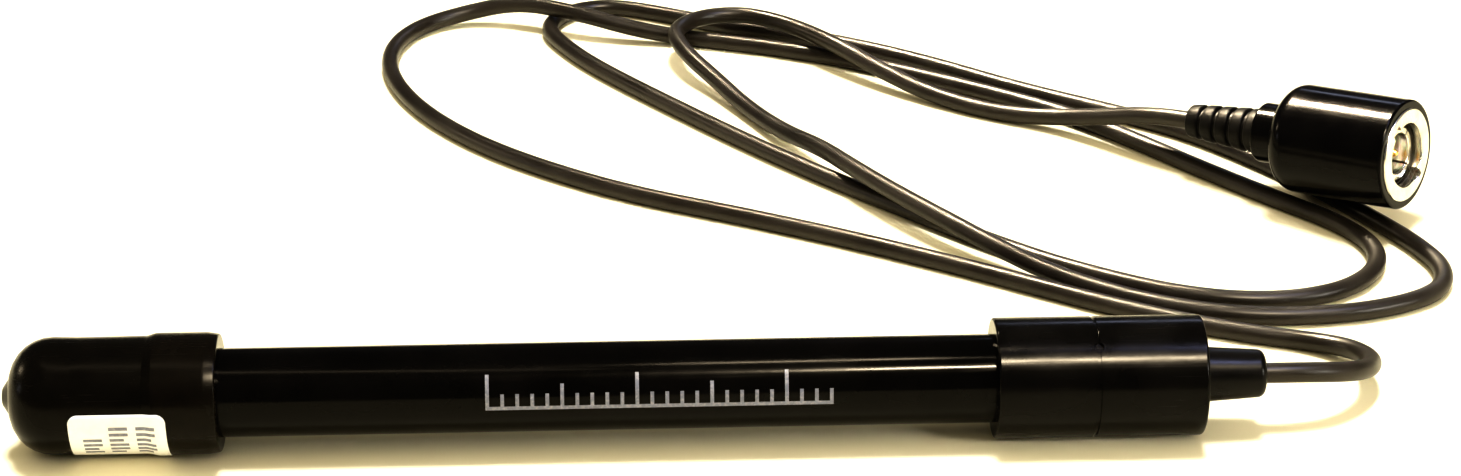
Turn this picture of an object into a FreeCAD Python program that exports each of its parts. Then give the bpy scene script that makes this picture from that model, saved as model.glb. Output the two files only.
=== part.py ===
import FreeCAD, Part
import math
import os

# Combination pH probe with a rubber storage cap and a coaxial lead that ends in a bayonet plug.
# Millimetres. The probe lies on the surface z = 0 with its axis along X, and +X points to the
# cable end. The origin is under the middle of the probe, on the surface that it lies on.

V = FreeCAD.Vector
os.makedirs("parts", exist_ok=True)

# ---------------------------------------------------------------- driving dimensions
REST_R = 8.2          # radius of the two stretches that the probe rests on: cap lip and grip
BODY_R = 6.0          # standard 12 mm electrode body
CABLE_R = 1.4         # 2.8 mm miniature coaxial cable
CAP_LENGTH = 29.1     # with its nub
BODY_LENGTH = 104.2   # body that shows between the cap and the grip
GRIP_LENGTH = 28.3
RELIEF_LENGTH = 8.7
RUN_GAP = 0.05        # radial clearance of what slides or turns

AXIS_Z = REST_R
TOTAL_LENGTH = CAP_LENGTH + BODY_LENGTH + GRIP_LENGTH + RELIEF_LENGTH

# stations along the probe
CAP_END = -TOTAL_LENGTH / 2
CAP_MOUTH = CAP_END + CAP_LENGTH
GRIP_START = CAP_MOUTH + BODY_LENGTH
GRIP_END = GRIP_START + GRIP_LENGTH
CABLE_EXIT = GRIP_END + RELIEF_LENGTH

# cap
NUB_R = 1.6
NUB_HEIGHT = 1.0
CAP_R = 7.9
LIP_LENGTH = 9.7
CAP_FACE = CAP_END + NUB_HEIGHT
CAP_FLOOR = CAP_FACE + 2.0
CHAMBER_R = 6.6
LIP_START = CAP_MOUTH - LIP_LENGTH
SPONGE_END = CAP_FLOOR + 2.75
LABEL_START = CAP_END + 8.6
LABEL_LENGTH = 13.4
LABEL_THICK = 0.1
LABEL_WIDTH = 10.9
LABEL_CORNER = 1.3
LABEL_ANGLE = -31.0   # of the label's middle, up from the side that faces -Y

# probe body and what is sealed in it
TIP_END = SPONGE_END + 0.8
TIP_R = 5.8           # a little slimmer, for the cap
BODY_BORE_R = 5.0
SPIGOT_R = 5.6
SPIGOT_END = GRIP_START + 11.9
NOTCH_LENGTH = 7.0
NOTCH_WIDTH = 3.4
BULB_R = 3.6
BULB_X = TIP_END + BULB_R + 1.4
STEM_R = 2.5
STEM_BORE_R = 2.0
STEM_END = 20.0
SEAL_START = BULB_X + 5.0
SEAL_END = SEAL_START + 4.0
POTTING_END = 44.0
WIRE_R = 0.4
WIRE_END = 50.0
REFERENCE_OFFSET = 3.75   # of the reference wire and the junction from the probe's axis
PRINT_START = -20.4
PRINT_PITCH = 2.0
PRINT_TICKS = 24
PRINT_THICK = 0.05
PRINT_ANGLE = 20.0

# grip, strain relief and the cable's end inside them
GRIP_R = REST_R
SEAM_X = GRIP_START + 13.5
SPLICE_END = SEAM_X + 2.0
JACKET_START = SPLICE_END + 2.0
GRIP_WALL = 2.0
RELIEF_BASE_R = 3.8
RELIEF_TIP_R = 3.225
RELIEF_NECK_R = 3.0
CORE_R = 0.8

# connector: stations along its own axis, from the rear face of its cover
PLUG_TIP = V(89.8, 87.9, 8.82)
PLUG_YAW = -40.0
PLUG_RISE = 5.85
PLUG_ROTATION = FreeCAD.Rotation(V(0, 0, 1), PLUG_YAW).multiply(FreeCAD.Rotation(V(0, 1, 0), -PLUG_RISE))
PLUG_AXIS = PLUG_ROTATION.multVec(V(1, 0, 0))
PLUG_ENTRY = PLUG_TIP - PLUG_AXIS * 7
BOOT_LENGTH = 13.0
COVER_R = 8.5
COVER_LENGTH = 24.7
COLLAR_R = 4.7
COLLAR_LENGTH = 4.3
NUT_R = 7.25
NUT_START = 10.0
NUT_FACE = 25.0
NUT_BORE_R = 4.9
NECK_R = 4.25
FLANGE_START = 12.5
FLANGE_END = 14.0
CONTACT_R = 4.05
CONTACT_SEAT_R = 3.8
CONTACT_BORE_R = 3.55
CONTACT_START = 15.2
CONTACT_END = 23.5
PIN_R = 0.675
PIN_START = 5.0
BOOT_R = 3.6
BOOT_TIP_R = 2.7

# route of the free cable, from the strain relief to the connector's boot
ROUTE = [
    # out of the relief, down to the surface and round
    (CABLE_EXIT, 0, AXIS_Z), (91.2, 0, AXIS_Z), (97.3, 2.4, 6.9), (101.7, 7.3, 4.9), (103.2, 13.3, 3.4),
    (101.4, 19.2, 2.2), (96.5, 23.2, 1.4),
    # leftwards, nearest the probe
    (88, 26, 1.4), (77, 31.5, 1.4), (66, 38.5, 1.4), (51, 49.3, 1.4), (34, 60.5, 1.4), (17, 70.4, 1.4),
    (1, 78.8, 1.4), (-12, 88.5, 1.4), (-23.5, 99.5, 1.4), (-32.5, 112, 1.4), (-38.2, 124.5, 1.4),
    (-40.8, 136, 1.4), (-40, 146, 1.4),
    # first loop, which ends over the second one
    (-36, 154.3, 1.4), (-28.5, 159, 2.0), (-18.5, 157.7, 4.5), (-8, 151.5, 4.5), (1.5, 148.6, 2.6),
    (10.5, 146.8, 1.4),
    # back to the right and round
    (23, 142.6, 1.4), (36, 136.5, 1.4), (49, 128, 1.4), (61.3, 119, 1.4), (72.5, 109.8, 1.4),
    (82, 98.5, 1.4), (91.5, 85.3, 1.4), (101.3, 73, 1.4), (109.4, 63.5, 1.4), (113, 54.6, 1.4),
    (111.2, 46.4, 1.4), (105.4, 40, 1.4), (97, 36.8, 1.4), (88, 37, 1.4),
    # leftwards again
    (79, 40, 1.4), (69.5, 46, 1.4), (60, 53.5, 1.4), (47, 67, 1.4), (24.2, 92.9, 1.4), (4, 120.4, 1.4),
    (-6, 135, 1.4), (-11.3, 145.5, 1.4),
    # second loop
    (-13.3, 151.4, 1.4), (-12.5, 156.2, 1.4), (-9.6, 160.2, 1.4), (-5.3, 162.4, 1.4), (-0.4, 162.4, 1.4),
    (7.5, 158.4, 1.4),
    # to the right, under the connector and round
    (17.5, 152.4, 1.4), (28, 148, 1.4), (38.5, 142.8, 1.4), (52, 133.2, 1.4), (66, 120.5, 1.4),
    (81.5, 109.2, 1.4), (91.4, 101.3, 1.4), (99.5, 91.2, 1.4), (106, 81.5, 1.4), (111, 72.2, 1.4),
    (115.5, 63.3, 1.4), (119.3, 55.3, 1.4), (121.6, 46.6, 1.4), (119.2, 38.9, 1.4), (111.5, 34, 1.4),
    (101.5, 31.5, 1.4), (90.5, 31.4, 1.4), (80, 34.4, 1.4),
    # leftwards between the other two, then over the farther one
    (70.5, 40.2, 1.4), (62, 46.4, 2.0), (55, 52.6, 3.4), (48, 60.2, 4.6), (41.3, 70, 4.8), (35.4, 80, 4.8),
    (30.8, 90.5, 4.1), (25.5, 101.5, 2.2), (20, 113.5, 1.6), (15, 124, 2.8), (10.8, 131, 4.2),
    # third loop, which lies on two strands
    (8.5, 139.2, 4.7), (9.7, 144.1, 4.7), (13.2, 147.9, 4.7), (18.1, 149.4, 4.7), (23.1, 148.4, 4.7),
    (29.9, 142.7, 4.7),
    # to the connector
    (36.7, 133.3, 4.7), (43.5, 125.3, 3.2), (50.5, 118.6, 1.8), (58.5, 112.2, 1.4), (65, 108.5, 1.6),
    (71.3, 105, 2.6), (77.3, 99.7, 4.8), tuple(PLUG_ENTRY), tuple(PLUG_TIP),
]
ARC_SHARE = 0.45      # how much of the shorter run an arc takes up
LEFT_BEND_Y = 136.0   # middle of the outermost bends' pieces, across the probe
RIGHT_BEND_Y = 50.0


# ---------------------------------------------------------------- helpers
def turned(corners):
    """Solid of revolution about X. A corner is (x, radius) or (x, radius, rounding)."""
    points = [V(c[0], c[1], 0) for c in corners]
    roundings = [c[2] if len(c) > 2 else 0 for c in corners]
    starts, arcs = [], []
    count = len(points)
    for i, point in enumerate(points):
        back = (points[i - 1] - point).normalize()
        ahead = (points[(i + 1) % count] - point).normalize()
        if roundings[i] == 0:
            starts.append((point, point))
            arcs.append(None)
            continue
        half = back.getAngle(ahead) / 2
        reach = roundings[i] / math.tan(half)
        middle = point + (back + ahead).normalize() * (roundings[i] / math.sin(half) - roundings[i])
        starts.append((point + back * reach, point + ahead * reach))
        arcs.append(Part.Arc(starts[i][0], middle, starts[i][1]).toShape())
    edges = []
    for i in range(count):
        if arcs[i]:
            edges.append(arcs[i])
        edges.append(Part.makeLine(starts[i][1], starts[(i + 1) % count][0]))
    face = Part.Face(Part.Wire(edges))
    return face.revolve(V(0, 0, 0), V(1, 0, 0), 360)


def ring(start, end, outer, inner=0):
    """Plain cylinder or sleeve along X."""
    solid = Part.makeCylinder(outer, end - start, V(start, 0, 0), V(1, 0, 0))
    if inner:
        solid = solid.cut(Part.makeCylinder(inner, end - start, V(start, 0, 0), V(1, 0, 0)))
    return solid


def slab(start, end, width, low, high):
    """Box along X, centred on Y, between two heights."""
    return Part.makeBox(end - start, width, high - low, V(start, -width / 2, low))


def about_axis(shape, angle):
    """The shape turned about X."""
    return shape.rotated(V(0, 0, 0), V(1, 0, 0), angle)


def facing_front(shape, angle):
    """A shape made on +Z, turned to face -Y and then the given angle up from there."""
    return about_axis(shape, 90 - angle)


def on_probe(shape):
    return shape.translated(V(0, 0, AXIS_Z))


def on_plug(shape):
    placed = shape.copy()
    placed.Placement = FreeCAD.Placement(PLUG_TIP + PLUG_AXIS * BOOT_LENGTH, PLUG_ROTATION)
    return placed


def round_tube(points, radius):
    """Tube along straight runs joined by tangent arcs. Also gives its length and smallest arc."""
    points = [V(*p) for p in points]
    edges, arc_radii, length = [], [], 0
    last = points[0]
    for before, point, after in zip(points, points[1:], points[2:]):
        back = before - point
        ahead = after - point
        reach = ARC_SHARE * min(back.Length, ahead.Length)
        half = back.getAngle(ahead) / 2
        arc_radius = reach * math.tan(half)
        inward = (V(back).normalize() + V(ahead).normalize()).normalize()
        start = point + V(back).normalize() * reach
        end = point + V(ahead).normalize() * reach
        middle = point + inward * (arc_radius / math.sin(half) - arc_radius)
        edges.append(Part.LineSegment(last, start).toShape())
        edges.append(Part.Arc(start, middle, end).toShape())
        arc_radii.append(arc_radius)
        last = end
    edges.append(Part.LineSegment(last, points[-1]).toShape())
    path = Part.Wire(edges)
    section = Part.Wire(Part.makeCircle(radius, points[0], points[1] - points[0]))
    solid = path.makePipeShell([section], True, False)
    return solid, path.Length, arc_radii


# ---------------------------------------------------------------- cap
def cap_outline(grow=0.0):
    """Outside of the cap from the face to the mouth, or a skin that much bigger."""
    return [
        (CAP_FACE - grow, 0),
        (CAP_FACE - grow, CAP_R + grow, 4.8 + grow),
        (LIP_START - 0.5 - grow, CAP_R + grow, 0.5),
        (LIP_START + 0.3 - grow, REST_R + grow, 0.3),
        (CAP_MOUTH, REST_R + grow, 0.4),
    ]


def storage_cap():
    inside = [
        (CAP_MOUTH, TIP_R + RUN_GAP, 0.3),
        (LIP_START, TIP_R + RUN_GAP),
        (LIP_START - 0.8, CHAMBER_R),
        (CAP_FLOOR, CHAMBER_R, 2.0),
        (CAP_FLOOR, 0),
    ]
    shell = turned(cap_outline() + inside)
    nub = turned([(CAP_END, 0), (CAP_END, NUB_R, 0.5), (CAP_FACE + 0.2, NUB_R), (CAP_FACE + 0.2, 0)])
    return shell.fuse(nub).removeSplitter()


def cap_sponge():
    return turned([(CAP_FLOOR, 0), (CAP_FLOOR, 4.5), (CAP_FLOOR + 1.8, 6.4), (SPONGE_END, 6.4, 0.4),
                   (SPONGE_END, 0)])


def cap_label():
    """Thin sticker that follows the cap's side over the step of its lip."""
    skin = turned(cap_outline(LABEL_THICK) + [(CAP_MOUTH, 0)])
    skin = skin.cut(turned(cap_outline() + [(CAP_MOUTH, 0)]))
    window = slab(LABEL_START, LABEL_START + LABEL_LENGTH, LABEL_WIDTH, 0, 2 * REST_R)
    corners = [e for e in window.Edges if abs(e.tangentAt(e.FirstParameter).z) > 0.9]
    window = window.makeFillet(LABEL_CORNER, corners)
    return facing_front(window, LABEL_ANGLE).common(skin)


# ---------------------------------------------------------------- body and its sealed pieces
def body_tube():
    tube = turned([
        (TIP_END, TIP_R, 0.4), (CAP_MOUTH, TIP_R), (CAP_MOUTH, BODY_R), (GRIP_START, BODY_R),
        (GRIP_START, SPIGOT_R), (SPIGOT_END, SPIGOT_R), (SPIGOT_END, BODY_BORE_R), (TIP_END, BODY_BORE_R, 0.3),
    ])
    for angle in (45, 135):
        notch = slab(TIP_END - 1, TIP_END + NOTCH_LENGTH, NOTCH_WIDTH, -BODY_R - 1, BODY_R + 1)
        tube = tube.cut(about_axis(notch, angle))
    return tube.cut(body_print())


def ph_bulb():
    """Hollow sensing bulb with a short neck that meets the stem."""
    bulb = Part.makeSphere(BULB_R, V(BULB_X, 0, 0)).fuse(ring(BULB_X, SEAL_START, STEM_R))
    hollow = Part.makeSphere(BULB_R - 0.4, V(BULB_X, 0, 0)).fuse(ring(BULB_X, SEAL_START, STEM_BORE_R))
    return bulb.cut(hollow)


def glass_stem():
    return ring(SEAL_START, STEM_END, STEM_R, STEM_BORE_R)


def signal_electrode():
    """Silver wire on the axis with a coated, thicker tip in the bulb."""
    return turned([(BULB_X - 1, 0), (BULB_X - 1, 0.9, 0.3), (BULB_X + 4, 0.9, 0.3), (BULB_X + 4, WIRE_R),
                   (WIRE_END, WIRE_R), (WIRE_END, 0)])


def reference_electrode():
    """Silver wire in the gel, beside the stem, with a coated end."""
    wire = turned([(-55, 0), (-55, 0.7, 0.2), (-35, 0.7, 0.2), (-35, WIRE_R), (WIRE_END, WIRE_R),
                   (WIRE_END, 0)])
    return wire.translated(V(0, 0, REFERENCE_OFFSET))


def stem_plug():
    return ring(STEM_END - 6, STEM_END, STEM_BORE_R, WIRE_R)


def junction_pin():
    """Porous ceramic pin through the tip seal."""
    return ring(SEAL_START, SEAL_END, 0.6).translated(V(0, 0, -REFERENCE_OFFSET))


def tip_seal():
    return ring(SEAL_START, SEAL_END, BODY_BORE_R, STEM_R).cut(junction_pin())


def reference_gel():
    gel = ring(SEAL_END, STEM_END, BODY_BORE_R, STEM_R)
    return gel.cut(reference_electrode())


def head_potting():
    block = ring(STEM_END, POTTING_END, BODY_BORE_R, WIRE_R)
    return block.cut(reference_electrode())


def body_print():
    """Plain immersion scale, flush with the body: a base line with ticks, some of them longer."""
    length = PRINT_TICKS * PRINT_PITCH
    band = ring(PRINT_START - 1, PRINT_START + length + 1, BODY_R, BODY_R - PRINT_THICK)
    marks = Part.makeBox(length - PRINT_PITCH + 0.5, 0.5, 10, V(PRINT_START, -2.4, 0))
    for tick in range(PRINT_TICKS):
        reach = 4.8 if tick % 10 == 0 else 3.5 if tick % 5 == 0 else 2.2
        marks = marks.fuse(Part.makeBox(0.5, reach, 10, V(PRINT_START + tick * PRINT_PITCH, -2.4, 0)))
    return facing_front(marks, PRINT_ANGLE).common(band).removeSplitter()


# ---------------------------------------------------------------- grip and cable entry
def seam_groove():
    return ring(SEAM_X - 0.25, SEAM_X + 0.25, GRIP_R + 1, GRIP_R - 0.25)


def gate_mark():
    """Small round mark that moulding leaves on the seam, towards the upper front."""
    dimple = Part.makeCylinder(0.7, 2, V(SEAM_X, 0, GRIP_R - 0.35))
    return facing_front(dimple, 55)


def grip_front():
    shell = turned([
        (GRIP_START, SPIGOT_R), (GRIP_START, GRIP_R, 0.3), (SEAM_X, GRIP_R), (SEAM_X, 7.0),
        (SEAM_X - 1.4, 7.0), (SEAM_X - 1.4, SPIGOT_R),
    ])
    return shell.cut(seam_groove()).cut(gate_mark())


def grip_rear():
    shell = turned([
        (SEAM_X - 1.4, SPIGOT_R), (SEAM_X - 1.4, 7.0), (SEAM_X, 7.0), (SEAM_X, GRIP_R), (GRIP_END, GRIP_R, 0.4),
        (GRIP_END, RELIEF_NECK_R), (GRIP_END - GRIP_WALL, RELIEF_NECK_R), (GRIP_END - GRIP_WALL, SPIGOT_R),
    ])
    return shell.cut(seam_groove()).cut(gate_mark())


def strain_relief():
    """Tapered sleeve with a flange behind the grip's end wall."""
    flange_x = GRIP_END - GRIP_WALL - 2.4
    return turned([
        (flange_x, CABLE_R), (flange_x, 4.5), (GRIP_END - GRIP_WALL, 4.5), (GRIP_END - GRIP_WALL, RELIEF_NECK_R),
        (GRIP_END, RELIEF_NECK_R), (GRIP_END, RELIEF_BASE_R), (CABLE_EXIT, RELIEF_TIP_R, 1.0), (CABLE_EXIT, CABLE_R),
    ])


def cable_tail():
    """End of the cable's jacket, inside the grip and the strain relief."""
    return ring(JACKET_START, CABLE_EXIT, CABLE_R, CORE_R)


def cable_core():
    """Insulation that is stripped back where the signal wire is joined, inside jacket and splice."""
    return ring(WIRE_END + 2, CABLE_EXIT, CORE_R, 0.25)


def core_conductor():
    return ring(WIRE_END, CABLE_EXIT, 0.25)


def shield_lead():
    """Drain wire from the cable's shield to the reference wire."""
    start = V(WIRE_END, 0, REFERENCE_OFFSET)
    bend = V(WIRE_END + 6, 0, REFERENCE_OFFSET)
    low = V(JACKET_START, 0, (CABLE_R + CORE_R) / 2)
    solid, _, _ = round_tube([start, bend, low], 0.25)
    return solid


def cable_clamp():
    """Brass sleeve crimped on the jacket, which takes the pull inside the grip."""
    end = GRIP_END - GRIP_WALL - 2.4
    return ring(end - 4, end, 2.2, CABLE_R)


# ---------------------------------------------------------------- cable and connector
def cable_pieces():
    """The free cable as five pieces, so that its outermost bends can rest on the surface by themselves."""
    solid, length, radii = round_tube(ROUTE, CABLE_R)
    ideal = math.pi * CABLE_R ** 2 * length
    print("cable: length %.0f, smallest arc %.1f, largest %.0f, volume over ideal %.4f"
          % (length, min(radii), max(radii), solid.Volume / ideal))
    left = solid.common(Part.makeBox(20, 20, 4, V(-50, LEFT_BEND_Y - 10, -1)))
    right = solid.common(Part.makeBox(20, 20, 4, V(115, RIGHT_BEND_Y - 10, -1)))
    rest = solid.cut(left).cut(right).Solids
    start = min(rest, key=lambda piece: piece.distToShape(Part.Vertex(CABLE_EXIT, 0, AXIS_Z))[0])
    end = min(rest, key=lambda piece: piece.distToShape(Part.Vertex(PLUG_TIP))[0])
    middle = [piece for piece in rest if not piece.isSame(start) and not piece.isSame(end)][0]
    return {
        "cable_start": start, "cable_left_bend": left, "cable_middle": middle, "cable_right_bend": right,
        "cable_end": end,
    }


def plug_boot():
    """Ribbed cone that the cable enters, with a plain end that reaches into the cover."""
    boot = turned([
        (-BOOT_LENGTH, CABLE_R), (-BOOT_LENGTH, BOOT_TIP_R, 0.4), (-0.8, BOOT_R, 0.3), (3, BOOT_R), (3, 2.2),
        (-6, 2.2), (-6, CABLE_R),
    ])
    slope = (BOOT_R - BOOT_TIP_R) / (BOOT_LENGTH - 0.8)
    for rib in range(4):
        x = -BOOT_LENGTH + 2.2 + rib * 2.7
        surface = BOOT_TIP_R + slope * (x + BOOT_LENGTH)
        boot = boot.cut(ring(x, x + 0.8, BOOT_R + 1, surface - 0.45))
    return boot


def plug_cable_tail():
    return ring(-BOOT_LENGTH, -1, CABLE_R, 0.25)


def plug_conductor():
    """Inner conductor from the cable into the back of the centre pin."""
    return ring(-BOOT_LENGTH, PIN_START, 0.25)


def crimp_ferrule():
    return ring(-6, 3, 2.2, CABLE_R)


def plug_body():
    """Turned brass body: neck for the coupling, flange in front of it and a hub for the contact."""
    return turned([
        (3, 1.4), (3, 3.6), (6, 3.6), (6, NECK_R), (8.6, NECK_R), (8.6, 3.7), (9.4, 3.7), (9.4, NECK_R),
        (FLANGE_START, NECK_R), (FLANGE_START, NUT_BORE_R - RUN_GAP), (FLANGE_END, NUT_BORE_R - RUN_GAP),
        (FLANGE_END, CONTACT_BORE_R), (7.5, CONTACT_BORE_R), (7.5, 1.4),
    ])


def plug_outer_contact():
    """Sprung sleeve with four slots, seated in the body against the insulator's shoulder."""
    sleeve = turned([
        (FLANGE_END, CONTACT_BORE_R - 0.35), (FLANGE_END, CONTACT_SEAT_R), (CONTACT_START, CONTACT_SEAT_R),
        (CONTACT_START, CONTACT_R),
        (CONTACT_END, CONTACT_R), (CONTACT_END, CONTACT_BORE_R - 0.35, 0.2),
    ])
    for angle in (45, 135):
        slot = slab(CONTACT_END - 6, CONTACT_END + 1, 0.4, -CONTACT_R - 1, CONTACT_R + 1)
        sleeve = sleeve.cut(about_axis(slot, angle))
    return sleeve


def plug_insulator():
    return turned([
        (7.5, PIN_R), (7.5, CONTACT_BORE_R), (FLANGE_END, CONTACT_BORE_R), (FLANGE_END, CONTACT_BORE_R - 0.35),
        (16.5, CONTACT_BORE_R - 0.35), (16.5, 2.35), (21.5, 2.35, 0.2), (21.5, 1.1), (16.5, 1.1), (16.5, PIN_R),
    ])


def plug_centre_pin():
    return turned([(PIN_START, 0), (PIN_START, 1.0), (7.5, 1.0), (7.5, PIN_R), (22.6, PIN_R), (23.3, 0.3, 0.2),
                   (23.3, 0)])


def plug_gasket():
    return ring(FLANGE_END, CONTACT_START, 4.75, CONTACT_SEAT_R)


def retaining_ring():
    """Open spring ring in the groove of the neck, behind the coupling."""
    gap = slab(8, 10, 1.6, 0, 6)
    return ring(8.65, 9.35, 4.75, 3.7).cut(gap)


def spring_washer():
    """Split washer in front of the coupling's inner flange."""
    gap = slab(11, 13, 1.0, 0, 6)
    return ring(11.6, FLANGE_START, 4.75, NECK_R).cut(about_axis(gap, 120))


def bayonet_track(angle):
    """Entry slot from the face and the turning track behind it, for one stud of the socket."""
    entry = slab(18.2, NUT_FACE + 1, 2.2, 0, 6.1)
    sweep = ring(18.2, 20.4, 6.1, 3)
    wedge = Part.makeCylinder(7, 2.2, V(18.2, 0, 0), V(1, 0, 0), 80)
    track = sweep.common(wedge).rotated(V(0, 0, 0), V(1, 0, 0), 90)
    return about_axis(entry.fuse(track), angle)


def coupling_nut():
    """Nickelled ring that turns on the neck and locks on the socket's studs."""
    nut = turned([
        (NUT_START, NECK_R + RUN_GAP), (NUT_START, NUT_R), (NUT_FACE, NUT_R, 0.3), (NUT_FACE, NUT_BORE_R, 0.3),
        (11.5, NUT_BORE_R), (11.5, NECK_R + RUN_GAP),
    ])
    for angle in (35, 215):
        nut = nut.cut(bayonet_track(angle))
    return nut


def coupling_cover():
    """Plastic cover over the ring, with a rounded shoulder and a collar that clears the boot."""
    return turned([
        (0, BOOT_R + 0.2), (0, COLLAR_R, 0.4), (COLLAR_LENGTH, COLLAR_R), (COLLAR_LENGTH, COVER_R, 3.0),
        (COVER_LENGTH, COVER_R, 0.4), (COVER_LENGTH, NUT_R), (NUT_START, NUT_R), (NUT_START, 6.3),
        (COLLAR_LENGTH + 1.5, 6.3), (COLLAR_LENGTH + 1.5, BOOT_R + 0.2),
    ])


PROBE_PARTS = [
    storage_cap, cap_sponge, cap_label, body_tube, ph_bulb, glass_stem, signal_electrode, reference_electrode,
    stem_plug, junction_pin, tip_seal, reference_gel, head_potting, body_print, grip_front, grip_rear,
    strain_relief, cable_tail, cable_core, core_conductor, shield_lead, cable_clamp,
]
PLUG_PARTS = [
    plug_boot, plug_cable_tail, plug_conductor, crimp_ferrule, plug_body, plug_outer_contact,
    plug_insulator, plug_centre_pin, plug_gasket, retaining_ring, spring_washer, coupling_nut, coupling_cover,
]


def save(name, shape):
    if len(shape.Solids) != 1 or not shape.isValid():
        print("CHECK", name, "solids", len(shape.Solids), "valid", shape.isValid())
    shape.Solids[0].exportStep("parts/%s.step" % name)


for make in PROBE_PARTS:
    save(make.__name__, on_probe(make()))
for make in PLUG_PARTS:
    save(make.__name__, on_plug(make()))
for name, shape in cable_pieces().items():
    save(name, shape)
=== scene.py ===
import math

import bmesh
import bpy
from mathutils import Euler, Matrix, Vector


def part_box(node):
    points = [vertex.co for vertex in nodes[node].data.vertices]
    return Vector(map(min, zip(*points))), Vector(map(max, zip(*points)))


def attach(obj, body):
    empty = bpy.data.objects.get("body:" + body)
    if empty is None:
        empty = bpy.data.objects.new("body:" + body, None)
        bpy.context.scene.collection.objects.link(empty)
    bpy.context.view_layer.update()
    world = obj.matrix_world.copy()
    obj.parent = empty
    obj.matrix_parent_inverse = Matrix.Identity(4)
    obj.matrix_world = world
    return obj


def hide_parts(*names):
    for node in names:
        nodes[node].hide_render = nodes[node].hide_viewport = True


# A combination pH probe with a storage cap, a free coaxial lead and a bayonet plug.
# Metres, in the frame of the CAD model: the probe lies along X and the floor is z = 0.

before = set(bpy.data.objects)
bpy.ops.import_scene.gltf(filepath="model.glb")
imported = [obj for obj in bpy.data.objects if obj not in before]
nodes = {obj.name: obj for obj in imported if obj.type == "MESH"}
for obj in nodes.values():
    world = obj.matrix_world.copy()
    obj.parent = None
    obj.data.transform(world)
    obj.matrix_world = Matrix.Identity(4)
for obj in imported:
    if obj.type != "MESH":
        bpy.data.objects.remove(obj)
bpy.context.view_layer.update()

MM = 0.001
CABLE_R = 1.4 * MM
AXIS_Z = (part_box("body_tube")[0].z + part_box("body_tube")[1].z) / 2


def add(name, data):
    """Makes an object of that data and links it into the scene."""
    made = bpy.data.objects.new(name, data)
    bpy.context.scene.collection.objects.link(made)
    return made


# ---------------------------------------------------------------- camera
CAMERA_PLACE = (-0.0044, -0.4098, 0.2170)
CAMERA_TILT = math.radians(65.463)
CAMERA_PAN = math.radians(-2.366)
CAMERA_LENS = 83.78


def make_camera():
    camera = add("camera", bpy.data.cameras.new("camera"))
    camera.data.sensor_width = 36
    camera.data.lens = CAMERA_LENS
    camera.data.clip_start = 0.01
    camera.location = CAMERA_PLACE
    camera.rotation_euler = Euler((CAMERA_TILT, 0, CAMERA_PAN))
    bpy.context.scene.camera = camera


make_camera()

# ---------------------------------------------------------------- where the two ends lie
PROBE_PLACE = Matrix.Translation((0, 0, AXIS_Z))

# the plug's axis runs from the end of the cable, to the right and towards the front, rising a little
PLUG_TIP = Vector((89.8, 87.9, 8.82))
PLUG_YAW = math.radians(-40)
PLUG_RISE = math.radians(5.85)
PLUG_TURN = Matrix.Rotation(PLUG_YAW, 4, "Z") @ Matrix.Rotation(-PLUG_RISE, 4, "Y")
PLUG_AXIS = PLUG_TURN @ Vector((1, 0, 0))
PLUG_ENTRY = PLUG_TIP - PLUG_AXIS * 7    # from here on the cable is straight
BOOT_LENGTH = 13.0
PLUG_PLACE = Matrix.Translation((PLUG_TIP + PLUG_AXIS * BOOT_LENGTH) * MM) @ PLUG_TURN

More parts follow.
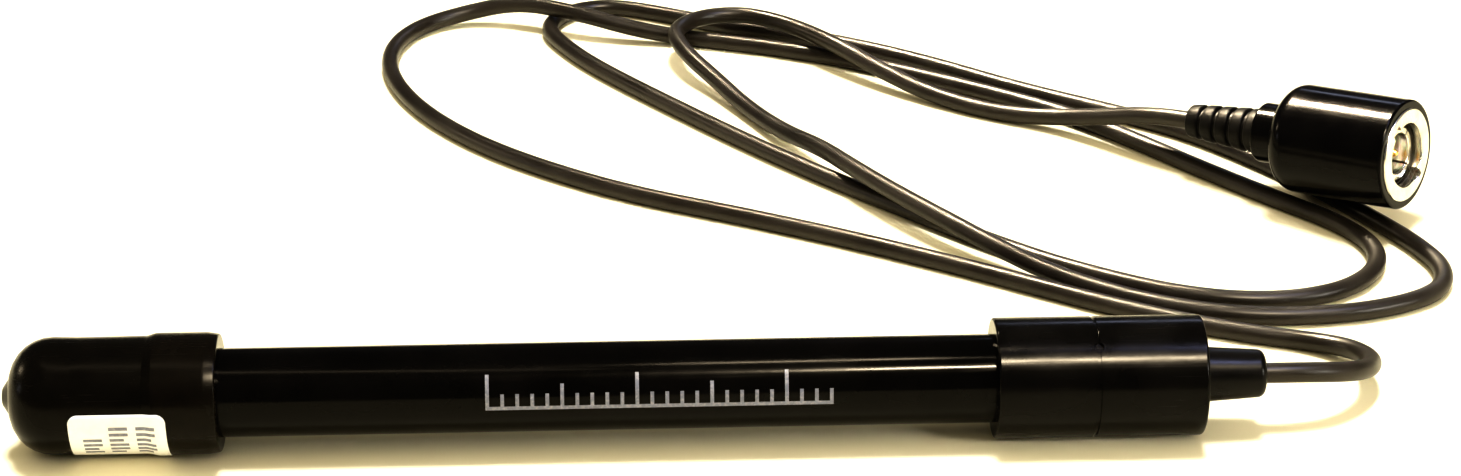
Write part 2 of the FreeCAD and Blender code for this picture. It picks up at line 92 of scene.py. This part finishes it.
# ---------------------------------------------------------------- cable
# the route in millimetres, from the strain relief to the plug's boot
ROUTE = [
    # out of the relief, down to the surface and round
    (85.15, 0, 8.2), (91.2, 0, 8.2), (97.3, 2.4, 6.9), (101.7, 7.3, 4.9), (103.2, 13.3, 3.4),
    (101.4, 19.2, 2.2), (96.5, 23.2, 1.4),
    # leftwards, nearest the probe
    (88, 26, 1.4), (77, 31.5, 1.4), (66, 38.5, 1.4), (51, 49.3, 1.4), (34, 60.5, 1.4), (17, 70.4, 1.4),
    (1, 78.8, 1.4), (-12, 88.5, 1.4), (-23.5, 99.5, 1.4), (-32.5, 112, 1.4), (-38.2, 124.5, 1.4),
    (-40.8, 136, 1.4), (-40, 146, 1.4),
    # first loop, which ends over the second one
    (-36, 154.3, 1.4), (-28.5, 159, 2.0), (-18.5, 157.7, 4.5), (-8, 151.5, 4.5), (1.5, 148.6, 2.6),
    (10.5, 146.8, 1.4),
    # back to the right and round
    (23, 142.6, 1.4), (36, 136.5, 1.4), (49, 128, 1.4), (61.3, 119, 1.4), (72.5, 109.8, 1.4),
    (82, 98.5, 1.4), (91.5, 85.3, 1.4), (101.3, 73, 1.4), (109.4, 63.5, 1.4), (113, 54.6, 1.4),
    (111.2, 46.4, 1.4), (105.4, 40, 1.4), (97, 36.8, 1.4), (88, 37, 1.4),
    # leftwards again
    (79, 40, 1.4), (69.5, 46, 1.4), (60, 53.5, 1.4), (47, 67, 1.4), (24.2, 92.9, 1.4), (4, 120.4, 1.4),
    (-6, 135, 1.4), (-11.3, 145.5, 1.4),
    # second loop
    (-13.3, 151.4, 1.4), (-12.5, 156.2, 1.4), (-9.6, 160.2, 1.4), (-5.3, 162.4, 1.4),
    (-0.4, 162.4, 1.4), (7.5, 158.4, 1.4),
    # to the right, under the connector and round
    (17.5, 152.4, 1.4), (28, 148, 1.4), (38.5, 142.8, 1.4), (52, 133.2, 1.4), (66, 120.5, 1.4),
    (81.5, 109.2, 1.4), (91.4, 101.3, 1.4), (99.5, 91.2, 1.4), (106, 81.5, 1.4), (111, 72.2, 1.4),
    (115.5, 63.3, 1.4), (119.3, 55.3, 1.4), (121.6, 46.6, 1.4), (119.2, 38.9, 1.4), (111.5, 34, 1.4),
    (101.5, 31.5, 1.4), (90.5, 31.4, 1.4), (80, 34.4, 1.4),
    # leftwards between the other two, then over the farther one
    (70.5, 40.2, 1.4), (62, 46.4, 2.0), (55, 52.6, 3.4), (48, 60.2, 4.6), (41.3, 70, 4.8),
    (35.4, 80, 4.8), (30.8, 90.5, 4.1), (25.5, 101.5, 2.2), (20, 113.5, 1.6), (15, 124, 2.8),
    (10.8, 131, 4.2),
    # third loop, which lies on two strands
    (8.5, 139.2, 4.7), (9.7, 144.1, 4.7), (13.2, 147.9, 4.7), (18.1, 149.4, 4.7), (23.1, 148.4, 4.7),
    (29.9, 142.7, 4.7),
    # to the plug
    (36.7, 133.3, 4.7), (43.5, 125.3, 3.2), (50.5, 118.6, 1.8), (58.5, 112.2, 1.4), (65, 108.5, 1.6),
    (71.3, 105, 2.6), (77.3, 99.7, 4.8), PLUG_ENTRY, PLUG_TIP,
]
CABLE_NODES = ["cable_start", "cable_left_bend", "cable_middle", "cable_right_bend", "cable_end"]


def make_cable():
    """One round smooth spline along the route."""
    data = bpy.data.curves.new("cable_lead", "CURVE")
    data.dimensions = "3D"
    spline = data.splines.new("NURBS")
    spline.points.add(len(ROUTE) - 1)
    for point, place in zip(spline.points, ROUTE):
        point.co = (*(c * MM for c in place), 1)
        point.radius = CABLE_R
    spline.order_u = 3
    spline.use_endpoint_u = True
    spline.resolution_u = 10
    data.bevel_depth = 1    # the points' radius gives the cable's
    data.bevel_resolution = 10
    lead = add("cable_lead", data)
    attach(lead, "probe")
    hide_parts(*CABLE_NODES)
    return lead


cable_lead = make_cable()


# ---------------------------------------------------------------- mesh helpers
def rounded(corners, steps=7):
    """Outline, in millimetres, from corners (x, radius) and (x, radius, rounding)."""
    flat = [Vector((c[0], c[1])) for c in corners]
    outline = []
    for i, corner in enumerate(corners):
        rounding = corner[2] if len(corner) > 2 else 0
        if not rounding:
            outline.append(flat[i])
            continue
        back = (flat[i - 1] - flat[i]).normalized()
        ahead = (flat[(i + 1) % len(flat)] - flat[i]).normalized()
        half = back.angle(ahead) / 2
        centre = flat[i] + (back + ahead).normalized() * rounding / math.sin(half)
        first = flat[i] + back * rounding / math.tan(half) - centre
        last = flat[i] + ahead * rounding / math.tan(half) - centre
        sweep = first.angle_signed(last)
        for step in range(steps + 1):
            turn = Matrix.Rotation(-sweep * step / steps, 2)
            outline.append(centre + turn @ first)
    return outline


def ring_of(build, x, radius, segments):
    """Vertices round the local X axis, or a single one where the outline is on the axis."""
    if radius < 1e-6:
        return [build.verts.new((x * MM, 0, 0))]
    turns = [2 * math.pi * k / segments for k in range(segments)]
    return [
        build.verts.new((x * MM, radius * MM * math.cos(turn), radius * MM * math.sin(turn)))
        for turn in turns
    ]


def spin(name, outline, place, body, segments, closed=True):
    """Solid of revolution about the local X axis, smooth where its outline is."""
    mesh = bpy.data.meshes.new(name)
    build = bmesh.new()
    rings = [ring_of(build, x, radius, segments) for x, radius in outline]
    pairs = list(zip(rings, rings[1:]))
    if closed:
        pairs.append((rings[-1], rings[0]))
    for low, high in pairs:
        for k in range(segments):
            near = [low[k % len(low)], low[(k + 1) % len(low)]]
            far = [high[(k + 1) % len(high)], high[k % len(high)]]
            corners = list(dict.fromkeys(near + far))    # a point on the axis stands twice
            if len(corners) > 2:
                build.faces.new(corners)
    bmesh.ops.recalc_face_normals(build, faces=build.faces)
    build.to_mesh(mesh)
    build.free()
    mesh.transform(place)
    for face in mesh.polygons:
        face.use_smooth = True
    mesh.set_sharp_from_angle(angle=math.radians(35))
    piece = add(name, mesh)
    weighted = piece.modifiers.new("even_normals", "WEIGHTED_NORMAL")
    weighted.keep_sharp = True
    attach(piece, body)
    return piece


# ---------------------------------------------------------------- cap
CAP_LOW, CAP_HIGH = (c.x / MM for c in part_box("storage_cap"))
LIP_R = AXIS_Z / MM
CAP_R = 7.9
BORE_R = 5.85
LIP_START = CAP_HIGH - 8.8


def cap_piece():
    """Soft rubber cap: nub, bulging shoulder, slim waist, lip and a mouth that rolls in."""
    face = CAP_LOW + 1.0
    outside = [
        (CAP_LOW, 0), (CAP_LOW, 1.2, 0.6), (face, 2.7, 0.5), (face, 8.1, 5.7),
        (face + 9.0, CAP_R - 0.1, 9.0), (LIP_START - 0.9, CAP_R - 0.05, 0.5),
        (LIP_START + 0.3, LIP_R, 0.5), (CAP_HIGH - 1.6, LIP_R, 3.0), (CAP_HIGH, LIP_R - 0.25, 0.3),
    ]
    inside = [
        (CAP_HIGH, BORE_R, 0.3), (LIP_START, BORE_R), (LIP_START - 0.8, 6.6),
        (face + 2.0, 6.6, 2.0), (face + 2.0, 0),
    ]
    cap = spin("cap_shell", rounded(outside + inside), PROBE_PLACE, "cap", 160, closed=False)
    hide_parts("storage_cap")
    return cap


cap_shell = cap_piece()

# ---------------------------------------------------------------- label, in millimetres
LABEL_START = CAP_LOW + 9.6
LABEL_LENGTH = 12.9
LABEL_WIDTH = 10.9
LABEL_CORNER = 1.3
LABEL_TOP = math.radians(7)     # of its upper edge, up from the side that faces the front
LABEL_COLUMNS = 60
LABEL_ROWS = 24
BAR_COLUMNS = ((1.8, 3.8, 4), (5.3, 1.8, 6), (8.9, 1.8, 6))    # left end, first bar's top, how many
BAR_PITCH = 0.98
BAR_HEIGHT = 0.5
BAR_LENGTH = 2.5
SHORT_BAR_LENGTH = 1.9
BAR_STEPS = 8


def on_label(x, down, lift):
    """Point on the label's face, from a station and the distance round the cap below its upper edge."""
    over_lip = min(max((x - LIP_START + 0.9) / 1.6, 0), 1)
    radius = CAP_R + (LIP_R - CAP_R) * over_lip ** 2 * (3 - 2 * over_lip) + lift
    turn = LABEL_TOP - down / CAP_R
    return Vector((x, -radius * math.cos(turn), radius * math.sin(turn))) * MM


def bridge(build, first, second):
    """Faces between two rows of vertices."""
    for k in range(len(first) - 1):
        build.faces.new([first[k], first[k + 1], second[k + 1], second[k]])


def film(name, build, thickness, smooth):
    """Thickens a built face into a film that rides with the cap."""
    mesh = bpy.data.meshes.new(name)
    build.to_mesh(mesh)
    build.free()
    mesh.transform(PROBE_PLACE)
    for face in mesh.polygons:
        face.use_smooth = smooth
    piece = add(name, mesh)
    solid = piece.modifiers.new("thickness", "SOLIDIFY")
    solid.thickness = thickness * MM
    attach(piece, "cap")
    return piece


def label_sticker():
    """Vinyl sticker with round corners that follows the cap over the step of its lip."""
    build = bmesh.new()
    columns = []
    for step in range(LABEL_COLUMNS + 1):
        along = LABEL_LENGTH * (1 - math.cos(math.pi * step / LABEL_COLUMNS)) / 2
        edge = min(along, LABEL_LENGTH - along, LABEL_CORNER)
        inset = LABEL_CORNER - math.sqrt(LABEL_CORNER ** 2 - (LABEL_CORNER - edge) ** 2)
        height = LABEL_WIDTH - 2 * inset
        rows = [inset + height * row / LABEL_ROWS for row in range(LABEL_ROWS + 1)]
        columns.append([build.verts.new(on_label(LABEL_START + along, down, 0.1)) for down in rows])
    for left, right in zip(columns, columns[1:]):
        bridge(build, left, right)
    sticker = film("label_sticker", build, 0.12, smooth=True)
    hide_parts("cap_label")
    return sticker


def label_marks():
    """Three columns of short plain bars on the label, in place of lettering."""
    build = bmesh.new()
    for start, first, bars in BAR_COLUMNS:
        left = LABEL_START + start
        for bar in range(bars):
            length = SHORT_BAR_LENGTH if bar % 3 == 2 else BAR_LENGTH
            down = first + bar * BAR_PITCH
            stations = [left + length * step / BAR_STEPS for step in range(BAR_STEPS + 1)]
            above = [build.verts.new(on_label(x, down, 0.115)) for x in stations]
            below = [build.verts.new(on_label(x, down + BAR_HEIGHT, 0.115)) for x in stations]
            bridge(build, above, below)
    marks = film("label_marks", build, 0.03, smooth=False)
    return marks


sticker_piece = label_sticker()
marks_piece = label_marks()


# ---------------------------------------------------------------- boot
BOOT_R = 3.6
BOOT_TIP_R = 2.7
BOOT_BORE_R = 2.25
LOBES = 4
LOBE_PITCH = 2.7
GROOVE_DEPTH = 0.5


def boot_piece():
    """Soft boot of rounded lobes that grow towards the cover, on a slim core."""
    cable_r = CABLE_R / MM
    outline = [(-BOOT_LENGTH, cable_r), (-BOOT_LENGTH, BOOT_TIP_R - 0.15, 0.5)]
    for lobe in range(LOBES):
        x = -BOOT_LENGTH + 2.3 + lobe * LOBE_PITCH
        crest = BOOT_TIP_R + (BOOT_R - BOOT_TIP_R) * (x + BOOT_LENGTH) / 12.2
        outline += [
            (x, crest, 0.45), (x + 0.12, crest - GROOVE_DEPTH, 0.1),
            (x + 0.55, crest - GROOVE_DEPTH, 0.1), (x + 0.75, crest + 0.02, 0.45),
        ]
    outline += [
        (-0.4, BOOT_R, 0.2), (-0.2, BOOT_R - 0.1), (3, BOOT_R - 0.1),
        (3, BOOT_BORE_R), (-6, BOOT_BORE_R), (-6, cable_r),
    ]
    boot = spin("boot_shell", rounded(outline, 5), PLUG_PLACE, "probe", 96)
    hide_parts("plug_boot")
    return boot


boot_shell = boot_piece()


# ---------------------------------------------------------------- material helpers
class Finish:
    """A material being made, with coordinates in millimetres along a piece's own axes."""

    def __init__(self, name, place):
        self.material = bpy.data.materials.new(name)
        self.material.use_nodes = True
        self.nodes = self.material.node_tree.nodes
        self.links = self.material.node_tree.links
        self.shader = self.nodes["Principled BSDF"]
        where, turn, _ = (Matrix.Scale(1 / MM, 4) @ place.inverted()).decompose()
        mapping = self.nodes.new("ShaderNodeMapping")
        mapping.inputs["Location"].default_value = where
        mapping.inputs["Rotation"].default_value = turn.to_euler()
        mapping.inputs["Scale"].default_value = (1 / MM, 1 / MM, 1 / MM)
        self.links.new(self.nodes.new("ShaderNodeTexCoord").outputs["Object"], mapping.inputs["Vector"])
        self.vector = mapping.outputs["Vector"]

    def put(self, target, value):
        """Sets an input, or links it when the value comes from a node."""
        if isinstance(value, bpy.types.NodeSocket):
            self.links.new(value, target)
        elif isinstance(value, tuple) and len(value) == 3 and target.type == "RGBA":
            target.default_value = (*value, 1)
        else:
            target.default_value = value

    def set(self, **inputs):
        """Sets the shader's inputs, by their names with _ for a space."""
        for name, value in inputs.items():
            self.put(self.shader.inputs[name.replace("_", " ")], value)

    def math(self, operation, first, second):
        """Sum, product and the like of two values."""
        node = self.nodes.new("ShaderNodeMath")
        node.operation = operation
        self.put(node.inputs[0], first)
        self.put(node.inputs[1], second)
        return node.outputs[0]

    def stretched(self, waves):
        """The coordinates times one number, or times one for each axis."""
        node = self.nodes.new("ShaderNodeVectorMath")
        node.operation = "MULTIPLY"
        self.links.new(self.vector, node.inputs[0])
        node.inputs[1].default_value = waves if isinstance(waves, tuple) else (waves, waves, waves)
        return node.outputs[0]

    def noise(self, waves, detail=3):
        """Noise with that many waves per millimetre, the same or one number for each axis."""
        node = self.nodes.new("ShaderNodeTexNoise")
        self.links.new(self.stretched(waves), node.inputs["Vector"])
        node.inputs["Scale"].default_value = 1
        node.inputs["Detail"].default_value = detail
        return node.outputs["Fac"]

    def cells(self, waves):
        """Distance from the nearest of scattered points, with that many per millimetre."""
        node = self.nodes.new("ShaderNodeTexVoronoi")
        self.links.new(self.stretched(waves), node.inputs["Vector"])
        node.inputs["Scale"].default_value = 1
        return node.outputs["Distance"]

    def ramp(self, value, start, end, low, high):
        """Runs from low to high while the value runs from start to end."""
        node = self.nodes.new("ShaderNodeMapRange")
        self.put(node.inputs["Value"], value)
        node.inputs["From Min"].default_value = start
        node.inputs["From Max"].default_value = end
        node.inputs["To Min"].default_value = low
        node.inputs["To Max"].default_value = high
        return node.outputs["Result"]

    def mix(self, factor, first, second):
        """Colour between the first and the second."""
        node = self.nodes.new("ShaderNodeMix")
        node.data_type = "RGBA"
        self.put(node.inputs[0], factor)
        self.put(node.inputs[6], first)
        self.put(node.inputs[7], second)
        return node.outputs[2]

    def along(self):
        """Station along the piece's axis, in millimetres."""
        node = self.nodes.new("ShaderNodeSeparateXYZ")
        self.links.new(self.vector, node.inputs[0])
        return node.outputs["X"]

    def bump(self, height, depth, strength=1.0):
        """Relief of that depth in millimetres, on top of any that is there already."""
        node = self.nodes.new("ShaderNodeBump")
        node.inputs["Strength"].default_value = strength
        node.inputs["Distance"].default_value = depth * MM
        self.put(node.inputs["Height"], height)
        normal = self.shader.inputs["Normal"]
        if normal.is_linked:
            self.links.new(normal.links[0].from_socket, node.inputs["Normal"])
        self.links.new(node.outputs["Normal"], normal)


def polymer(name, place, dark, light, gloss, specular=0.25, peel=(0.35, 0.012), scuffs=0.25):
    """Moulded plastic or rubber: mottled colour, uneven gloss, orange peel and lengthwise scuffs."""
    finish = Finish(name, place)
    cloud = finish.noise(0.12, 5)
    scuff = finish.ramp(finish.noise((0.05, 3.2, 3.2), 5), 0.56, 0.76, 0.0, 1.0)
    dust = finish.ramp(finish.cells(0.55), 0.02, 0.06, 1.0, 0.0)
    finish.set(Base_Color=finish.mix(finish.ramp(cloud, 0.35, 0.68, 0, 1), dark, light))
    rough = finish.ramp(cloud, 0.3, 0.7, gloss[0], gloss[1])
    rough = finish.math("ADD", rough, finish.math("MULTIPLY", scuff, scuffs * gloss[1]))
    rough = finish.math("ADD", rough, finish.math("MULTIPLY", dust, 0.1))
    finish.set(Roughness=rough, Specular_IOR_Level=specular)
    finish.bump(finish.noise(peel[0], 2), peel[1])
    finish.bump(scuff, 0.002, 0.5)
    return finish


def metal(name, place, colour, tarnish, gloss, rings=(3.0, 0.003)):
    """Turned or plated metal: fine rings about the axis, clouded tarnish and small pits."""
    finish = Finish(name, place)
    turning = finish.noise((rings[0], 0.04, 0.04), 4)
    cloud = finish.noise(0.35, 5)
    pits = finish.ramp(finish.cells(1.1), 0.03, 0.09, 1.0, 0.0)
    turned = finish.ramp(turning, 0.3, 0.7, gloss[0], gloss[1])
    rough = finish.math("ADD", turned, finish.math("MULTIPLY", pits, 0.15))
    shade = finish.mix(finish.ramp(cloud, 0.45, 0.75, 0, 1), colour, tarnish)
    finish.set(Base_Color=shade, Metallic=1.0, Roughness=rough)
    finish.bump(turning, rings[1])
    return finish


# ---------------------------------------------------------------- materials
def cap_rubber():
    finish = polymer("cap_rubber", PROBE_PLACE, (0.0035, 0.003, 0.0022), (0.006, 0.005, 0.0035),
                     (0.16, 0.3), 0.1)
    # painted reflection: the lip is mixed towards a lighter brown in noisy patches, standing in for the
    # light band that it reflects
    lip = finish.ramp(finish.along(), LIP_START - 0.2, LIP_START + 1.0, 0.0, 1.0)
    painted_lip_sheen = finish.math("MULTIPLY", lip, finish.noise(0.5, 4))
    plain = finish.shader.inputs["Base Color"].links[0].from_socket
    finish.set(Base_Color=finish.mix(painted_lip_sheen, plain, (0.008, 0.006, 0.004)))
    return finish


def body_black():
    return polymer("body_black", PROBE_PLACE, (0.0025, 0.0022, 0.0018), (0.004, 0.0035, 0.003),
                   (0.1, 0.17), 0.1, (0.2, 0.006), 0.5)


def grip_black():
    return polymer("grip_black", PROBE_PLACE, (0.003, 0.0026, 0.0022), (0.005, 0.0044, 0.0038),
                   (0.16, 0.25), 0.11, (0.5, 0.015), 0.4)


def relief_rubber():
    return polymer("relief_rubber", PROBE_PLACE, (0.003, 0.0027, 0.0024), (0.007, 0.0062, 0.0055),
                   (0.24, 0.38), 0.14, (0.9, 0.02))


def cable_jacket():
    return polymer("cable_jacket", Matrix.Identity(4), (0.017, 0.0135, 0.01), (0.028, 0.023, 0.018),
                   (0.3, 0.44), 0.28, (0.5, 0.01), 0.1)


def boot_rubber():
    return polymer("boot_rubber", PLUG_PLACE, (0.003, 0.0028, 0.0026), (0.008, 0.0072, 0.0066),
                   (0.38, 0.54), 0.12, (1.2, 0.03))


def cover_black():
    return polymer("cover_black", PLUG_PLACE, (0.0028, 0.0025, 0.0025), (0.005, 0.0045, 0.0044),
                   (0.12, 0.2), 0.1, (0.3, 0.012), 0.5)


def nickel():
    return metal("nickel", PLUG_PLACE, (0.80, 0.78, 0.72), (0.62, 0.58, 0.50), (0.16, 0.34))


def gold():
    return metal("gold", PLUG_PLACE, (0.95, 0.66, 0.20), (0.72, 0.45, 0.13), (0.15, 0.3))


def brass():
    return metal("brass", PROBE_PLACE, (0.78, 0.57, 0.25), (0.45, 0.30, 0.14), (0.25, 0.45))


def copper():
    return metal("copper", PROBE_PLACE, (0.85, 0.42, 0.26), (0.45, 0.2, 0.12), (0.25, 0.45),
                 (0.6, 0.01))


def silver():
    return metal("silver", PROBE_PLACE, (0.85, 0.84, 0.82), (0.28, 0.26, 0.27), (0.25, 0.5),
                 (0.6, 0.01))


def spring_steel():
    return metal("spring_steel", PLUG_PLACE, (0.55, 0.55, 0.54), (0.35, 0.31, 0.27), (0.25, 0.4),
                 (2.0, 0.004))


def ptfe():
    finish = Finish("ptfe", PLUG_PLACE)
    cloud = finish.noise(0.6, 4)
    finish.set(Base_Color=finish.mix(cloud, (0.92, 0.91, 0.88), (0.82, 0.80, 0.74)),
               Roughness=finish.ramp(cloud, 0.3, 0.7, 0.35, 0.5),
               Subsurface_Weight=0.3, Subsurface_Scale=0.0008)
    finish.bump(finish.noise((2.5, 0.1, 0.1), 3), 0.006)
    return finish


def gasket():
    return polymer("gasket", PLUG_PLACE, (0.16, 0.035, 0.012), (0.24, 0.06, 0.02), (0.35, 0.5),
                   0.4, (1.5, 0.02))


def label():
    finish = Finish("label", PROBE_PLACE)
    fibres = finish.noise((0.8, 2.4, 2.4), 5)
    grime = finish.ramp(finish.noise(0.25, 5), 0.55, 0.8, 0.0, 0.35)
    paper = finish.mix(fibres, (0.93, 0.94, 0.97), (0.85, 0.86, 0.89))
    finish.set(Base_Color=finish.mix(grime, paper, (0.74, 0.70, 0.60)),
               Roughness=finish.ramp(fibres, 0.3, 0.7, 0.38, 0.55), Specular_IOR_Level=0.4)
    finish.bump(fibres, 0.012)
    return finish


def ink():
    """Printed marks, a little thin in places."""
    finish = Finish("ink", PROBE_PLACE)
    thin = finish.ramp(finish.noise(2.2, 4), 0.45, 0.7, 0.0, 0.6)
    finish.set(Base_Color=finish.mix(thin, (0.17, 0.18, 0.24), (0.36, 0.36, 0.42)),
               Roughness=0.45)
    finish.bump(thin, 0.004)
    return finish


def sponge():
    finish = Finish("sponge", PROBE_PLACE)
    pores = finish.cells(1.6)
    solid = finish.ramp(pores, 0.05, 0.5, 0, 1)
    finish.set(Base_Color=finish.mix(solid, (0.35, 0.28, 0.12), (0.85, 0.76, 0.46)),
               Roughness=0.92, Sheen_Weight=0.2)
    finish.bump(pores, 0.25)
    return finish


def glass(name, tint, clear):
    """Blown glass, faintly wavy, that lets that share of the light through."""
    finish = Finish(name, PROBE_PLACE)
    wave = finish.noise(0.4, 3)
    finish.set(Base_Color=finish.mix(wave, tint, (0.98, 0.99, 0.99)),
               Roughness=finish.ramp(wave, 0.3, 0.7, 0.02, 0.07),
               Transmission_Weight=clear, IOR=1.48)
    finish.bump(wave, 0.01)
    return finish


def membrane_glass():
    return glass("membrane_glass", (0.80, 0.93, 0.88), 1.0)


def stem_glass():
    return glass("stem_glass", (0.90, 0.96, 0.94), 0.95)


def filling(name, thick, thin, gloss, waves, depth):
    """Poured, cast or pressed matter: two tones in clouds and a faintly uneven face."""
    finish = Finish(name, PROBE_PLACE)
    cloud = finish.noise(waves, 5)
    finish.set(Base_Color=finish.mix(finish.ramp(cloud, 0.35, 0.65, 0, 1), thick, thin),
               Roughness=finish.ramp(cloud, 0.3, 0.7, gloss[0], gloss[1]))
    finish.bump(cloud, depth)
    return finish


def epoxy():
    return filling("epoxy", (0.05, 0.05, 0.055), (0.09, 0.085, 0.08), (0.18, 0.4), 0.5, 0.03)


def ceramic():
    return filling("ceramic", (0.86, 0.84, 0.79), (0.72, 0.68, 0.60), (0.6, 0.85), 2.4, 0.03)


def seal():
    return filling("seal", (0.50, 0.51, 0.53), (0.62, 0.63, 0.65), (0.35, 0.5), 0.9, 0.02)


def gel():
    finish = filling("gel", (0.62, 0.60, 0.50), (0.78, 0.76, 0.66), (0.12, 0.25), 0.3, 0.05)
    finish.set(Subsurface_Weight=0.5, Subsurface_Scale=0.002)
    return finish


def core_insulation():
    return filling("core_insulation", (0.80, 0.80, 0.76), (0.68, 0.67, 0.62), (0.4, 0.55), 1.2,
                   0.01)


FINISHES = [
    cap_rubber, body_black, grip_black, relief_rubber, cable_jacket, boot_rubber, cover_black,
    nickel, gold, brass, copper, silver, spring_steel, ptfe, gasket, label, ink, sponge,
    membrane_glass, stem_glass, epoxy, ceramic, seal, gel, core_insulation,
]
materials = {make.__name__: make().material for make in FINISHES}
NEW_PIECES = (
    (cap_shell, "cap_rubber"), (cable_lead, "cable_jacket"), (boot_shell, "boot_rubber"),
    (marks_piece, "ink"), (sticker_piece, "label"),
)

for node in nodes.values():
    for slot in node.material_slots:
        slot.material = materials[slot.material.name.split(".")[0]]
for piece, finish_name in NEW_PIECES:
    piece.data.materials.append(materials[finish_name])


# ---------------------------------------------------------------- floor and light
def floor():
    """Plain pale sheet in a warm white."""
    bpy.ops.mesh.primitive_plane_add(size=8)
    plane = bpy.context.object
    plane.name = "floor"
    finish = Finish("floor", Matrix.Identity(4))
    cloud = finish.noise(0.01, 2)
    finish.set(Base_Color=finish.mix(cloud, (0.95, 0.88, 0.64), (0.97, 0.90, 0.68)),
               Roughness=0.9, Specular_IOR_Level=0.1)
    plane.data.materials.append(finish.material)


def sun_light(name, strength, spread, tilt, colour):
    """Light from above for the matt surfaces only, from a patch of sky that many degrees across."""
    data = bpy.data.lights.new(name, "SUN")
    data.energy = strength
    data.angle = math.radians(spread)
    data.color = colour
    light = add(name, data)
    light.rotation_euler = (math.radians(tilt), math.radians(1), 0)
    light.visible_glossy = False


def area_light(name, place, aim, size, power, colour, spread=180, diffuse=False):
    """A panel that shines over that many degrees, and shows in gloss only unless it is diffuse too."""
    data = bpy.data.lights.new(name, "AREA")
    data.shape = "RECTANGLE"
    data.size, data.size_y = size
    data.energy = power
    data.color = colour
    data.spread = math.radians(spread)
    light = add(name, data)
    light.location = place
    light.rotation_euler = (Vector(aim) - Vector(place)).to_track_quat("-Z", "Y").to_euler()
    light.visible_diffuse = diffuse


WARM = (1.0, 0.84, 0.60)
COOL = (0.55, 0.60, 1.0)
BACK = (0.70, 0.76, 1.0)
PLAIN = (0.9, 0.9, 0.95)
PANELS = (
    # name, place, aim, size, power, colour
    ("tube_strip", (0.062, -0.093, 0.65), (0.02, 0.0, 0.0), (0.085, 0.03), 0.5, WARM),
    ("tube_glow", (-0.15, -0.093, 0.65), (-0.05, 0.0, 0.0), (0.4, 0.03), 0.2, WARM),
    ("grip_strip", (0.145, -0.34, 0.556), (0.05, 0.0, 0.0), (0.15, 0.035), 4.8, WARM),
    ("cool", (0.27, -0.12, 0.62), (0.11, 0.03, 0.0), (0.10, 0.10), 1.6, COOL),
    ("back", (0.30, 0.75, 0.40), (0.1, 0.1, 0.0), (0.3, 0.06), 0.3, BACK),
    ("dome_high", (-0.61, 0.23, 0.24), (-0.08, 0.0, 0.01), (0.07, 0.05), 0.5, WARM),
    ("dome_low", (-0.72, 0.0, 0.14), (-0.08, 0.0, 0.01), (0.05, 0.04), 0.15, PLAIN),
)
NARROW = 16


def lights():
    """Two overhead sources that only the matt surfaces see, and panels that the gloss shows."""
    sun_light("overhead", 2.9, 11, -6, (1.0, 0.985, 0.955))
    sun_light("fill", 1.9, 110, 8, (1.0, 0.88, 0.62))
    for panel in PANELS:
        area_light(*panel)
    area_light("cover_strip", (-0.11, 0.41, 0.59), (0.11, 0.07, 0.01), (0.05, 0.16), 0.45, WARM,
               spread=NARROW)
    area_light("face", (0.75, -0.45, 0.35), (0.12, 0.07, 0.01), (0.3, 0.25), 0.13, (1.0, 0.97, 0.88),
               spread=NARROW, diffuse=True)


def surroundings():
    """A faint even glow all round, and the tone of the picture."""
    world = bpy.data.worlds.new("studio")
    world.use_nodes = True
    background = world.node_tree.nodes["Background"]
    background.inputs["Color"].default_value = (1.0, 0.98, 0.95, 1)
    background.inputs["Strength"].default_value = 0.08
    bpy.context.scene.world = world
    bpy.context.scene.view_settings.view_transform = "Standard"
    bpy.context.scene.view_settings.look = "High Contrast"


floor()
lights()
surroundings()
